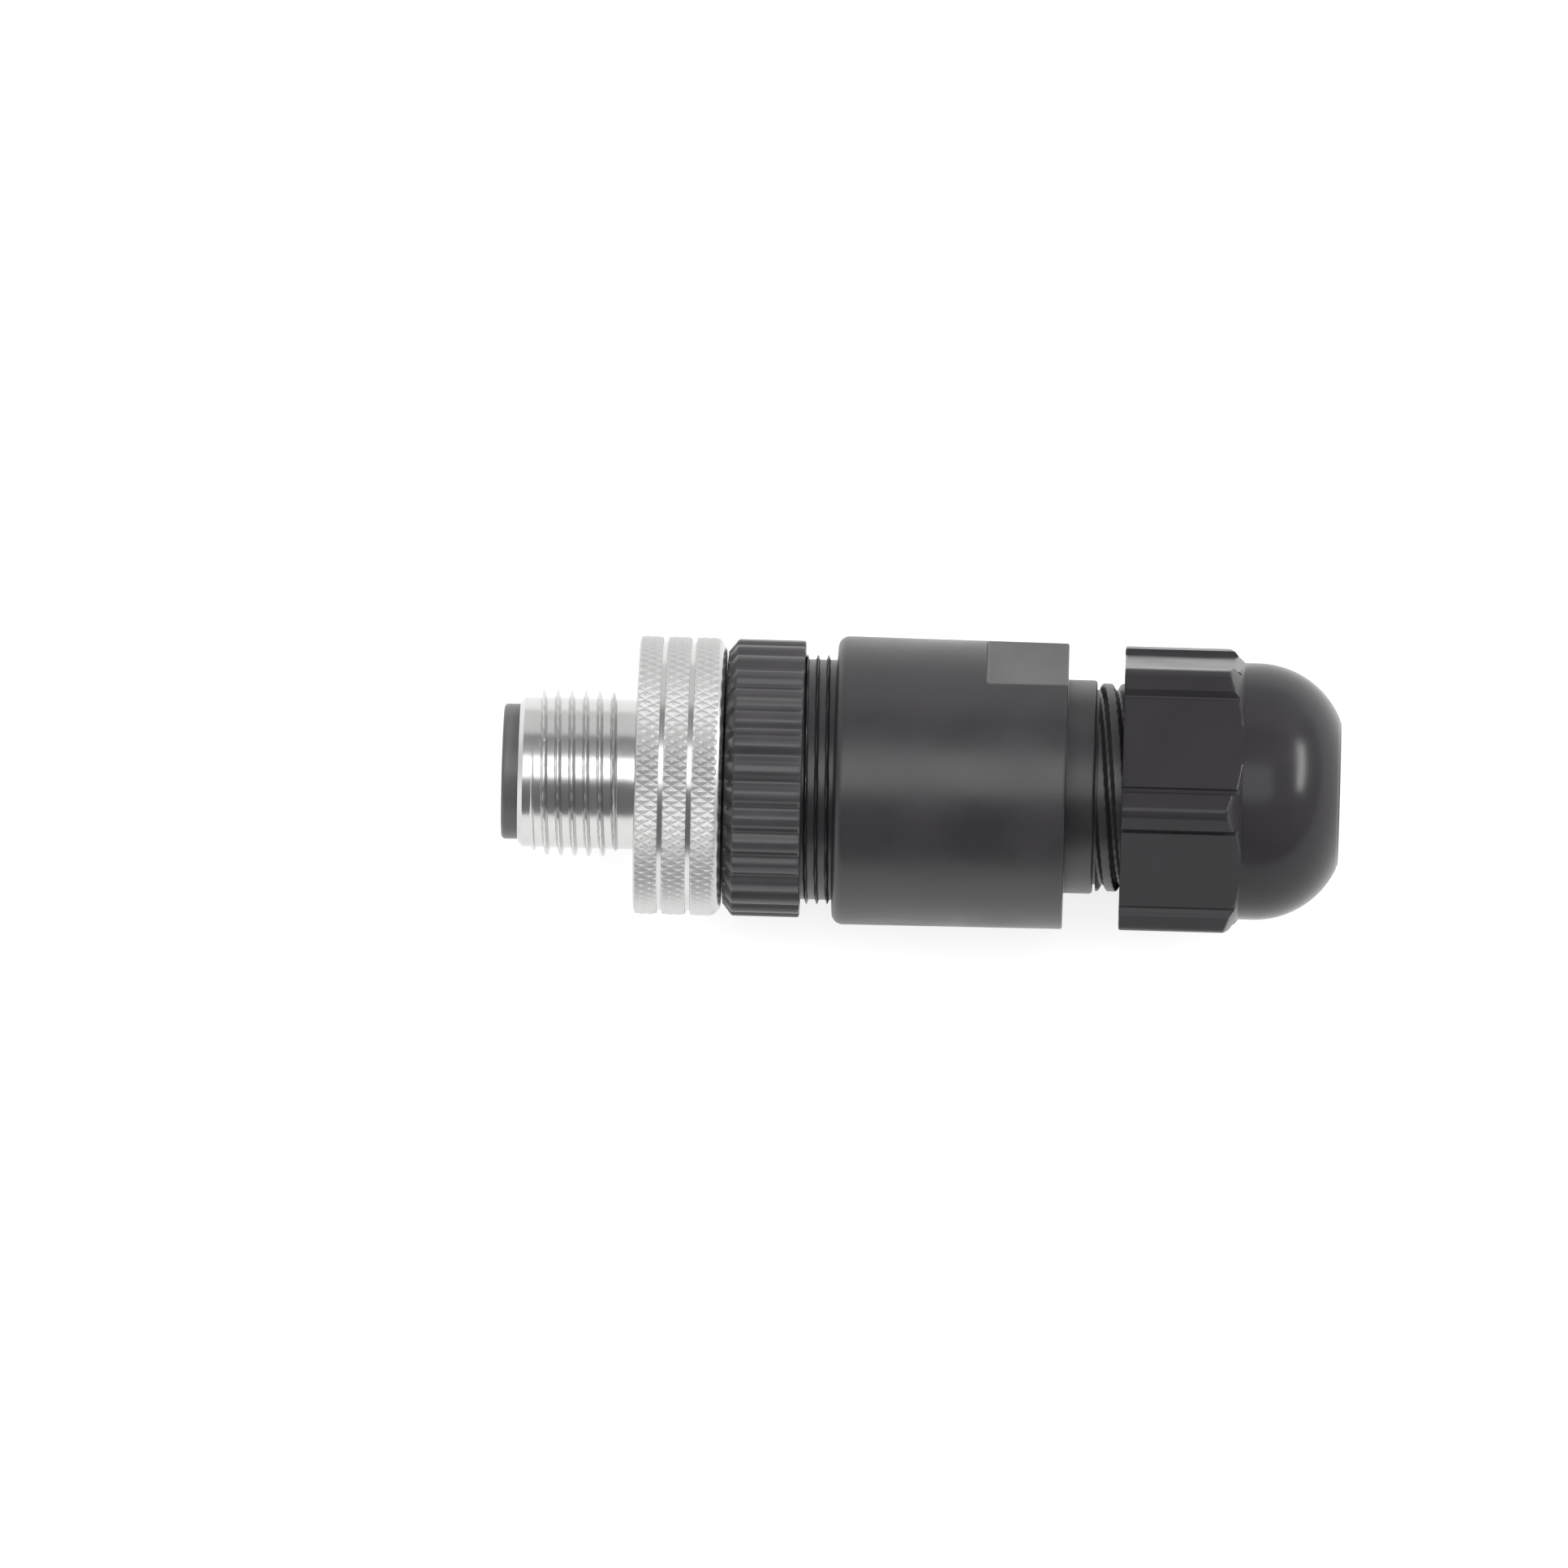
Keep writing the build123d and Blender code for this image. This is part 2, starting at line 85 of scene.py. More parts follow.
class Shell:
    """A closed surface of rings, each joined to the one before it and the last to the first."""

    def __init__(self):
        self.points = []
        self.faces = []
        self.rings = []
        self.count = 0

    def ring(self, angles, x, r, diagonals=0):
        """Add a ring. x and r are numbers or one value per angle; diagonals gives lattice triangles."""
        x = np.broadcast_to(np.asarray(x, float), angles.shape)
        r = np.broadcast_to(np.asarray(r, float), angles.shape)
        self.points.append(np.column_stack((x, r * np.cos(angles), r * np.sin(angles))))
        new = (self.count, angles)
        self.count += len(angles)
        if self.rings:
            self.join(self.rings[-1], new, diagonals)
        self.rings.append(new)

    def lathe(self, angles, outline):
        for x, r in outline:
            self.ring(angles, x, r)

    def join(self, old, new, diagonals=0):
        (a, old_angles), (b, new_angles) = old, new
        n, m = len(old_angles), len(new_angles)
        if n == m:
            for i in range(n):
                k = (i + 1) % n
                if not diagonals:
                    self.faces.append((a + i, a + k, b + k, b + i))
                elif (i + diagonals) % 2:
                    self.faces.append((a + i, a + k, b + i))
                    self.faces.append((a + k, b + k, b + i))
                else:
                    self.faces.append((a + i, a + k, b + k))
                    self.faces.append((a + i, b + k, b + i))
            return
        i = j = 0
        while i < n or j < m:
            next_old = old_angles[i + 1] if i + 1 < n else old_angles[0] + 2 * pi if i < n else 1e9
            next_new = new_angles[j + 1] if j + 1 < m else new_angles[0] + 2 * pi if j < m else 1e9
            if next_old <= next_new:
                self.faces.append((a + i % n, a + (i + 1) % n, b + j % m))
                i += 1
            else:
                self.faces.append((a + i % n, b + (j + 1) % m, b + j % m))
                j += 1

    def finish(self, name, body, node, sharp=32.0):
        self.join(self.rings[-1], self.rings[0])
        mesh = bpy.data.meshes.new(name)
        mesh.from_pydata(np.concatenate(self.points) * MM, [], self.faces)
        mesh.validate()
        mesh.shade_smooth()
        mesh.set_sharp_from_angle(angle=radians(sharp))
        piece = bpy.data.objects.new(name, mesh)
        bpy.context.collection.objects.link(piece)
        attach(piece, body)
        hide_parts(node)
        return piece


def even_angles(count, start=0.0):
    return start + np.arange(count) * 2 * pi / count


def rounded(corners, steps=5, guard=0.04):
    """Outline of (x, r, rounding) corners with arcs, and a guard point beside each arc."""
    out = []
    for i, (x, r, rounding) in enumerate(corners):
        if not rounding:
            out.append((x, r))
            continue
        here = Vector((x, r))
        before = (Vector(corners[i - 1][:2]) - here).normalized()
        after = (Vector(corners[i + 1][:2]) - here).normalized()
        half = acos(max(-1, min(1, before.dot(after)))) / 2
        reach = rounding / tan(half)
        centre = here + (before + after).normalized() * (rounding / sin(half))
        first, last = here + before * reach - centre, here + after * reach - centre
        out.append(tuple(here + before * (reach + guard)))
        sweep = first.angle_signed(last)
        for k in range(steps + 1):
            turn = Matrix.Rotation(-sweep * k / steps, 2)
            out.append(tuple(centre + turn @ first))
        out.append(tuple(here + after * (reach + guard)))
    return out


def smooth(t):
    t = np.clip(t, 0, 1)
    return t * t * (3 - 2 * t)


def soft_min(a, b, k):
    """The lower of two values, with the crease between them rounded over k."""
    h = np.clip(0.5 + 0.5 * (b - a) / k, 0, 1)
    return b + (a - b) * h - k * h * (1 - h)


def ridge(x, angles, x_crest, angle_crest, pitch, half_base, half_top, lead=None):
    """Height from 0 to 1 of a right-handed thread's ridge at one x and each angle."""
    lead = lead or pitch
    along = x - x_crest - (angles - angle_crest) / (2 * pi) * lead
    away = np.abs((along / pitch + 0.5) % 1 - 0.5) * pitch
    return smooth((half_base - away) / (half_base - half_top))


# Angle of the photograph's upper edge, where the thread crests were measured
TOP_ANGLE = VIEW_TILT

# Coupling ring, in millimetres as all shapes
AROUND = 192
SCREW_BORE = 4.95
SCREW_FRONT = -1.34
SCREW_CORE = 5.37
SCREW_CHAMFER = 0.35
THREAD_HEIGHT = 0.57
THREAD_PITCH = 1.0
THREAD_FIRST = 0.30
THREAD_RIDGE = (0.25, 0.05)
THREAD_STEPS = 34
THREAD_RINGS = (-0.80, 6.30)
THREAD_START = -0.45
THREAD_RUN_IN = 0.65
THREAD_STOP = 6.0
THREAD_RUN_OUT = 0.75
FLANGE = 7.10
FLANGE_END = 13.36
FLANGE_R = 9.97
SHOULDER_SEAT = 8.40
SHOULDER_BORE = 6.20
RETAINER_ROOM = (9.85, 10.65, 6.75)
BAND = 1.68
BAND_GROOVE = 0.36
BAND_FLOOR = 9.66
BAND_LEAN = 0.02
BAND_CHAMFER = 0.12
REAR_ROUND = 0.80
REAR_SWEEP = radians(80)
REAR_STEP = 0.08
KNURLS = 86
KNURL_STEPS = 8
KNURL_ROWS = 11
KNURL_DEPTH = 0.13
KNURL_EDGE = 0.6


def knurl_height(columns, row):
    """Depth from 0 to 1 under the crowns of a diamond knurl, on its own lattice."""
    half = KNURL_STEPS / 2
    rising = np.abs((columns + row) % KNURL_STEPS - half)
    falling = np.abs((columns - row) % KNURL_STEPS - half)
    from_groove = half - np.maximum(rising, falling)
    return 1 - np.minimum(from_groove, half - 1) / (half - 1)


def coupling_ring():
    shell = Shell()
    plain = even_angles(AROUND)
    fine = even_angles(KNURLS * KNURL_STEPS)
    shell.lathe(plain, rounded([
        (SCREW_FRONT, SCREW_BORE, 0),
        (SCREW_FRONT, SCREW_CORE - SCREW_CHAMFER, 0.06),
        (SCREW_FRONT + SCREW_CHAMFER, SCREW_CORE, 0.08),
        (-0.85, SCREW_CORE, 0)]))
    for x in np.arange(*THREAD_RINGS, THREAD_PITCH / THREAD_STEPS):
        high = ridge(x, plain, THREAD_FIRST, TOP_ANGLE, THREAD_PITCH, *THREAD_RIDGE)
        grown = smooth((x - THREAD_START) / THREAD_RUN_IN) * smooth((THREAD_STOP - x) / THREAD_RUN_OUT)
        shell.ring(plain, x, SCREW_CORE + THREAD_HEIGHT * high * grown)
    shell.lathe(plain, [
        (6.40, SCREW_CORE), (FLANGE - 0.15, SCREW_CORE), (FLANGE - 0.04, SCREW_CORE + 0.03),
        (FLANGE, SCREW_CORE + 0.15), (FLANGE, FLANGE_R - 1.0)])
    shell.lathe(fine, [
        (FLANGE, FLANGE_R - 0.40), (FLANGE + 0.03, FLANGE_R - 0.30), (FLANGE + 0.09, FLANGE_R - 0.20)])
    columns = np.arange(len(fine))
    step = BAND / KNURL_ROWS
    for band in range(3):
        x_band = FLANGE + band * (BAND + BAND_GROOVE)
        if band:
            shell.ring(fine, x_band - BAND_LEAN, BAND_FLOOR)
        for row in range(KNURL_ROWS + 1):
            x = x_band + row * step
            deep = KNURL_DEPTH * knurl_height(columns, row)
            if row in (0, KNURL_ROWS):
                deep = np.maximum(deep, KNURL_EDGE * KNURL_DEPTH)
            if row == 0:
                x += BAND_LEAN if band else BAND_CHAMFER
            shell.ring(fine, x, FLANGE_R - deep, diagonals=1 + row % 2 if row else 0)
        if band < 2:
            shell.ring(fine, x_band + BAND + BAND_LEAN, BAND_FLOOR)
    x_rim = FLANGE + 3 * BAND + 2 * BAND_GROOVE
    shell.ring(fine, x_rim + 0.03, FLANGE_R - KNURL_DEPTH)
    x_arc = FLANGE_END - REAR_ROUND
    first = np.arcsin((x_rim + BAND_CHAMFER - x_arc) / REAR_ROUND)
    for a in np.linspace(first, REAR_SWEEP, 7):
        shell.ring(plain, x_arc + REAR_ROUND * sin(a), FLANGE_R - REAR_ROUND * (1 - cos(a)) - REAR_STEP)
    shell.lathe(plain, [(FLANGE_END, FLANGE_R - REAR_ROUND - 0.1), (FLANGE_END, SHOULDER_BORE)])
    room, room_end, room_r = RETAINER_ROOM
    shell.lathe(plain, [
        (room_end, SHOULDER_BORE), (room_end, room_r), (room, room_r), (room, SHOULDER_BORE),
        (SHOULDER_SEAT, SHOULDER_BORE), (SHOULDER_SEAT, SCREW_BORE)])
    return shell.finish("knurled_screw", "coupling_ring", "coupling_ring", sharp=42)


# Ribbed collar
COLLAR = 13.46
COLLAR_END = 19.00
COLLAR_R = 9.94
COLLAR_BORE = 6.30
COLLAR_ROOM = 14.46
COLLAR_ROOM_R = 9.03
RIBS = 32
RIB_SAMPLES = 26
RIB_CROWN = 1.7
GROOVE_DEPTH = 0.4
COLLAR_CHAMFER = (0.72, 0.92)
COLLAR_FACE_DROP = 0.35
CHAMFER_BLEND = 0.12
RIB_START = 0.3


def collar_section(angles):
    """Radius of the ribs: a wave with crowns a little wider than its grooves."""
    spacing = 2 * pi / RIBS
    from_groove = np.abs((angles + spacing / 2) % spacing - spacing / 2) / (spacing / 2)
    deep = (0.5 + 0.5 * np.cos(pi * from_groove)) ** RIB_CROWN
    return COLLAR_R - GROOVE_DEPTH * deep


def ribbed_collar():
    shell = Shell()
    angles = even_angles(RIBS * RIB_SAMPLES)
    section = collar_section(angles)
    length, depth = COLLAR_CHAMFER
    shell.lathe(angles, [(COLLAR, COLLAR_BORE), (COLLAR, COLLAR_R - depth - COLLAR_FACE_DROP)])
    for t in np.linspace(0, 1, 14):
        x = COLLAR + 0.03 + (length + 0.2) * t
        drop = depth * (1 - (x - COLLAR) / length)
        drop = float(soft_min(np.array(0.0), np.array(-drop), CHAMFER_BLEND))
        share = RIB_START + (1 - RIB_START) * float(smooth((x - COLLAR) / (0.5 * length)))
        shell.ring(angles, x, COLLAR_R + drop - (COLLAR_R - section) * share)
    for x in (COLLAR + 1.5, COLLAR + 3.0, COLLAR_END - 0.6, COLLAR_END - 0.12):
        shell.ring(angles, x, section)
    shell.ring(angles, COLLAR_END - 0.04, section - 0.03)
    shell.ring(angles, COLLAR_END, section - 0.11)
    shell.lathe(angles, [
        (COLLAR_END, COLLAR_ROOM_R), (COLLAR_ROOM, COLLAR_ROOM_R), (COLLAR_ROOM, COLLAR_BORE)])
    return shell.finish("grip_collar", "ribbed_collar", "ribbed_collar")


# Housing
HOUSING_FRONT = 15.76
HOUSING_BORE = 6.95
FRONT_THREAD_R = 8.95
FRONT_THREAD_PITCH = 0.75
FRONT_THREAD_HEIGHT = 0.34
FRONT_THREAD_FIRST = 19.88
FRONT_THREAD_RIDGE = (0.15, 0.01)
FRONT_THREAD_STEPS = 16
BODY = 21.33
BODY_END = 37.87
BODY_FRONT_R = 10.34
BODY_REAR_R = 10.24
BODY_FRONT_ROUND = 0.8
FLAT_LENGTH = 5.87
FLAT_HALF = 9.50
FLAT_ANGLE = radians(44)
# Rings over a flat's front edge: way behind the edge, and height that is still left there
FLAT_EDGE = ((0.0, 0.25), (0.02, 0.16), (0.07, 0.08), (0.14, 0.025), (0.25, 0.0), (0.35, 0.0))
FLAT_BLEND = 0.05
NECK_R = 7.65
NECK_END = 39.96
GLAND_THREAD = 40.16
GLAND_END = 47.46
GLAND_R = 7.45
GLAND_CORE = 6.98
GLAND_LEAD = 4.0
GLAND_STARTS = 3
GLAND_RIDGE = (0.40, 0.06)
GLAND_STEPS = 16
GLAND_GROOVE = (40.35, TOP_ANGLE + radians(30.1))
GLAND_BORE = 6.05
PASSAGE = 4.40
WIRE_ROOM_END = 35.97
WIRE_ROOM_CONE = 1.6
KEY_SLOT = (22.81, 7.55, 0.90, radians(45))


def housing_angles():
    """Even angles, finer along the edges of the flats and at the walls of the key slot."""
    angles = list(np.arange(0, 360, 1.5))
    edge = degrees(acos(FLAT_HALF / BODY_REAR_R))
    for flat in (degrees(FLAT_ANGLE), degrees(FLAT_ANGLE) + 180):
        for side in (-1, 1):
            angles += list(flat + side * edge + np.arange(-3.0, 3.1, 0.4))
    slot_end, slot_r, half, middle = KEY_SLOT
    for r in (slot_r, HOUSING_BORE):
        for side in (-1, 1):
            angles.append(degrees(middle + side * np.arcsin(half / r)))
    angles = np.unique(np.round(np.array(angles) % 360, 4))
    keep = np.diff(angles, prepend=angles[-1] - 360) > 0.12
    return np.radians(angles[keep])


def flat_radius(angles):
    """Radius of the two wrench flats at each angle, far out where there is none."""
    r = np.full_like(angles, 99.0)
    for flat in (FLAT_ANGLE, FLAT_ANGLE + pi):
        facing = np.cos(angles - flat)
        r = np.where(facing > 0.5, FLAT_HALF / np.maximum(facing, 0.5), r)
    return r


def slot_radius(angles):
    slot_end, slot_r, half, middle = KEY_SLOT
    away = (angles - middle + pi) % (2 * pi) - pi
    return np.where(np.abs(away) < np.arcsin(half / slot_r) + 1e-4, slot_r / np.cos(away), HOUSING_BORE)


def housing():
    shell = Shell()
    angles = housing_angles()
    slot = slot_radius(angles)
    shell.ring(angles, HOUSING_FRONT, slot)
    shell.ring(angles, HOUSING_FRONT, FRONT_THREAD_R - 0.45)
    for x in np.arange(HOUSING_FRONT + 0.03, BODY - 0.10, FRONT_THREAD_PITCH / FRONT_THREAD_STEPS):
        high = ridge(x, angles, FRONT_THREAD_FIRST, TOP_ANGLE, FRONT_THREAD_PITCH, *FRONT_THREAD_RIDGE)
        grown = smooth((x - HOUSING_FRONT + 0.1) / 0.5) * smooth((BODY - 0.05 - x) / 0.35)
        shell.ring(angles, x, FRONT_THREAD_R - FRONT_THREAD_HEIGHT * (1 - high * grown))
    root = FRONT_THREAD_R - FRONT_THREAD_HEIGHT
    shell.lathe(angles, rounded([
        (BODY - 0.06, root, 0),
        (BODY, root + 0.06, 0),
        (BODY, BODY_FRONT_R, BODY_FRONT_ROUND),
        (BODY + 2.5, BODY_FRONT_R - 0.016, 0)], steps=9))
    flat = flat_radius(angles)
    x_flat = BODY_END - FLAT_LENGTH

    def body_r(x):
        return BODY_FRONT_R - (BODY_FRONT_R - BODY_REAR_R) * (x - BODY) / (BODY_END - BODY)

    for x in (x_flat - 2.0, x_flat - 0.10, x_flat - 0.03):
        shell.ring(angles, x, body_r(x))
    for behind, rise in FLAT_EDGE:
        uncut = np.full_like(angles, body_r(x_flat))
        shell.ring(angles, x_flat + behind, soft_min(uncut, flat + rise, FLAT_BLEND))
    for x in (x_flat + 2.5, BODY_END - 0.30, BODY_END - 0.15):
        shell.ring(angles, x, soft_min(np.full_like(angles, body_r(x)), flat, FLAT_BLEND))
    last = soft_min(np.full_like(angles, body_r(BODY_END)), flat, FLAT_BLEND)
    shell.ring(angles, BODY_END - 0.05, last - 0.03)
    shell.ring(angles, BODY_END, last - 0.14)
    shell.lathe(angles, rounded([
        (BODY_END, NECK_R + 0.3, 0),
        (BODY_END, NECK_R + 0.06, 0),
        (BODY_END + 0.06, NECK_R, 0),
        (NECK_END, NECK_R, 0.22),
        (NECK_END, GLAND_CORE, 0),
        (GLAND_THREAD - 0.02, GLAND_CORE, 0)]))
    pitch = GLAND_LEAD / GLAND_STARTS
    x_groove, groove_angle = GLAND_GROOVE
    for x in np.arange(GLAND_THREAD, GLAND_END - 0.30, pitch / GLAND_STEPS):
        low = ridge(x, angles, x_groove, groove_angle, pitch, *GLAND_RIDGE, GLAND_LEAD)
        shell.ring(angles, x, GLAND_R - (GLAND_R - GLAND_CORE) * low)
    shell.lathe(angles, [
        (GLAND_END - 0.05, GLAND_CORE + 0.1), (GLAND_END, GLAND_CORE), (GLAND_END, GLAND_BORE),
        (NECK_END, GLAND_BORE), (NECK_END, PASSAGE),
        (WIRE_ROOM_END + WIRE_ROOM_CONE, PASSAGE), (WIRE_ROOM_END, HOUSING_BORE)])
    slot_end = KEY_SLOT[0]
    shell.ring(angles, slot_end + 0.02, HOUSING_BORE)
    shell.ring(angles, slot_end, slot)
    return shell.finish("grip_body", "housing", "housing")


# Gland nut
NUT = 41.90
NUT_END = 57.50
DOME = 50.50
HEX_HALF = 9.18
LAND_HALF = 9.50
# Half the width of a corner's land, at the radius where widths are measured
LAND_WIDTH = 1.35
LAND_AT_R = 10.2
NOSE_WIDTH = 0.45
NOSE_DEPTH = 0.45 * 0.35
LAND_GROOVE = (0.35, 0.2)
LAND_CHAMFER = 1.1
DOME_R = 9.20
DOME_STRAIGHT = 1.0
DOME_END_R = 5.12
CABLE_HOLE = 4.30
NUT_THREAD_R = 7.53
NUT_THREAD_END = 48.60
NUT_ROOM_R = 7.20
NUT_SEAT = 53.41


def nut_angles():
    """Close steps beside each corner's land and its grooves, wider ones on the flats."""
    around = np.concatenate((np.arange(-10.2, 10.21, 0.3), np.arange(11.5, 49.0, 1.5)))
    return np.radians(np.sort(np.concatenate([around + 60 * k for k in range(6)])))


def nut_section(angles):
    """Radius of the hexagon with raised round-nosed lands at its corners and a groove beside each."""
    sixth = pi / 3
    from_corner = (angles + sixth / 2) % sixth - sixth / 2
    from_flat = np.abs(from_corner) - sixth / 2
    hexagon = HEX_HALF / np.cos(from_flat)
    corner = LAND_HALF / np.cos(from_flat)
    before = LAND_HALF / np.cos(from_corner - sixth / 2)
    after = LAND_HALF / np.cos(from_corner + sixth / 2)
    nose = np.minimum(corner, soft_min(before, after, 0.01))
    side = np.abs(from_corner) * LAND_AT_R
    nose = nose - NOSE_DEPTH * np.clip(1 - side / NOSE_WIDTH, 0, 1) ** 2
    width, depth = LAND_GROOVE
    on_land = smooth((LAND_WIDTH + 0.05 - side) / 0.10)
    in_groove = smooth((side - LAND_WIDTH + 0.02) / 0.08)
    in_groove = in_groove * smooth((LAND_WIDTH + width + 0.06 - side) / 0.10)
    return hexagon + (nose - hexagon) * on_land - depth * in_groove


def dome_outline():
    """Rings of the dome from the lands' end to the cable hole's rim."""
    x_arc = DOME + DOME_STRAIGHT
    reach, drop = NUT_END - x_arc, DOME_R - DOME_END_R
    r_arc = (reach ** 2 + drop ** 2) / (2 * drop)
    sweep = np.arcsin(reach / r_arc)
    out = []
    for t in np.linspace(0, 1, 26)[1:-1]:
        a = sweep * t
        out.append((x_arc + r_arc * sin(a), DOME_R - r_arc * (1 - cos(a))))
    return out


def gland_nut():
    shell = Shell()
    angles = nut_angles()
    section = nut_section(angles)
    shell.ring(angles, NUT, NUT_THREAD_R)
    shell.ring(angles, NUT, section - 0.14)
    shell.ring(angles, NUT + 0.04, section - 0.04)
    shell.ring(angles, NUT + 0.14, section)
    for x in (NUT + 0.5, NUT + 3.0, DOME - LAND_CHAMFER - 1.5):
        shell.ring(angles, x, section)
    tip = LAND_HALF / cos(radians(30))
    for t in np.linspace(0, 1, 12):
        x = DOME - LAND_CHAMFER - 0.15 + (LAND_CHAMFER + 0.15) * t
        cone = tip + 0.12 - (tip + 0.12 - DOME_R) * t
        shell.ring(angles, x, soft_min(section, np.full_like(section, cone), CHAMFER_BLEND))
    flats = soft_min(section, np.full_like(section, DOME_R), 0.05)
    for behind, share in ((0.12, 0.75), (0.3, 0.3), (0.5, 0.0), (DOME_STRAIGHT, 0.0)):
        shell.ring(angles, DOME + behind, DOME_R + (flats - DOME_R) * share)
    shell.lathe(angles, dome_outline())
    shell.lathe(angles, rounded([
        (NUT_END - 0.10, DOME_END_R + 0.14, 0),
        (NUT_END, DOME_END_R - 0.02, 0.06),
        (NUT_END, CABLE_HOLE, 0.20),
        (NUT_SEAT, CABLE_HOLE, 0)], guard=0.02))
    shell.lathe(angles, [
        (NUT_SEAT, NUT_ROOM_R), (NUT_THREAD_END, NUT_ROOM_R), (NUT_THREAD_END, NUT_THREAD_R)])
    return shell.finish("domed_nut", "gland_nut", "gland_nut", sharp=40)


# Materials

# Usual range of a noise texture
NOISE_LOW, NOISE_HIGH = 0.22, 0.78
# The knurl is frosted, rougher than the turned faces, and painted lighter as a glint, from just above the
# grooves' floor
FROST_AND_GLINT_FROM = BAND_FLOOR + 0.05
GLINT_COLOUR = (0.69, 0.69, 0.685)
FROST_ROUGHNESS = 0.50
FROST_AND_GLINT_BLEND = 0.05


def new_material(name):
    material = bpy.data.materials.new(name)
    material.use_nodes = True
    nodes = material.node_tree.nodes
    return material, nodes, material.node_tree.links, nodes["Principled BSDF"]


def noise(nodes, links, scale, detail=3.0, roughness=0.5):
    place = nodes.new("ShaderNodeTexCoord")
    texture = nodes.new("ShaderNodeTexNoise")
    texture.inputs["Scale"].default_value = scale
    texture.inputs["Detail"].default_value = detail
    texture.inputs["Roughness"].default_value = roughness
    links.new(place.outputs["Object"], texture.inputs["Vector"])
    return texture.outputs["Fac"]


def spread(nodes, links, value, low, high):
    """Map a texture's usual range to the given one."""
    remap = nodes.new("ShaderNodeMapRange")
    remap.interpolation_type = "SMOOTHSTEP"
    remap.inputs["From Min"].default_value = NOISE_LOW
    remap.inputs["From Max"].default_value = NOISE_HIGH
    remap.inputs["To Min"].default_value = low
    remap.inputs["To Max"].default_value = high
    links.new(value, remap.inputs["Value"])
    return remap.outputs["Result"]


def surface(name, colour, roughness, patch_scale, grain_scale, grain_height, patchiness,
            metal=0.0, shine=0.5):
    """Patchy colour and roughness at one scale and a fine grain in the bump at another.

    The range of roughness stays on one side of 0.27, where the render's denoiser draws an outline.
    """
    material, nodes, links, shader = new_material(name)
    patches = noise(nodes, links, patch_scale)
    ramp = nodes.new("ShaderNodeValToRGB")
    ramp.color_ramp.interpolation = "EASE"
    ramp.color_ramp.elements[0].position = NOISE_LOW
    ramp.color_ramp.elements[1].position = NOISE_HIGH
    for element, factor in zip(ramp.color_ramp.elements, (1 - patchiness, 1 + patchiness)):
        element.color = tuple(channel * factor for channel in colour) + (1.0,)
    links.new(patches, ramp.inputs["Fac"])
    links.new(ramp.outputs["Color"], shader.inputs["Base Color"])
    links.new(spread(nodes, links, patches, roughness[0], roughness[1]), shader.inputs["Roughness"])
    bump = nodes.new("ShaderNodeBump")
    bump.inputs["Strength"].default_value = 1.0
    bump.inputs["Distance"].default_value = grain_height
    links.new(noise(nodes, links, grain_scale, 4.0, 0.6), bump.inputs["Height"])
    links.new(bump.outputs["Normal"], shader.inputs["Normal"])
    shader.inputs["Metallic"].default_value = metal
    shader.inputs["Specular IOR Level"].default_value = shine
    return material


def frost_and_glint(material, radius, colour, roughness):
    """Give what lies further out than the radius a rougher finish and a lighter colour, a painted glint."""
    nodes, links = material.node_tree.nodes, material.node_tree.links
    shader = nodes["Principled BSDF"]
    place = nodes.new("ShaderNodeTexCoord")
    across = nodes.new("ShaderNodeVectorMath")
    across.operation = "MULTIPLY"
    across.inputs[1].default_value = (0, 1, 1)
    links.new(place.outputs["Object"], across.inputs[0])
    length = nodes.new("ShaderNodeVectorMath")
    length.operation = "LENGTH"
    links.new(across.outputs[0], length.inputs[0])
    outside = nodes.new("ShaderNodeMapRange")
    outside.inputs["From Min"].default_value = (radius - FROST_AND_GLINT_BLEND) * MM
    outside.inputs["From Max"].default_value = (radius + FROST_AND_GLINT_BLEND) * MM
    links.new(length.outputs["Value"], outside.inputs["Value"])
    # Painted glint: the lighter colour outside the radius
    tint = nodes.new("ShaderNodeMix")
    tint.data_type = "RGBA"
    links.new(outside.outputs["Result"], tint.inputs["Factor"])
    links.new(shader.inputs["Base Color"].links[0].from_socket, tint.inputs[6])
    tint.inputs[7].default_value = colour + (1,)
    links.new(tint.outputs[2], shader.inputs["Base Color"])
    matt = nodes.new("ShaderNodeMix")
    links.new(outside.outputs["Result"], matt.inputs["Factor"])
    links.new(shader.inputs["Roughness"].links[0].from_socket, matt.inputs[2])
    matt.inputs[3].default_value = roughness
    links.new(matt.outputs[0], shader.inputs["Roughness"])
    return material


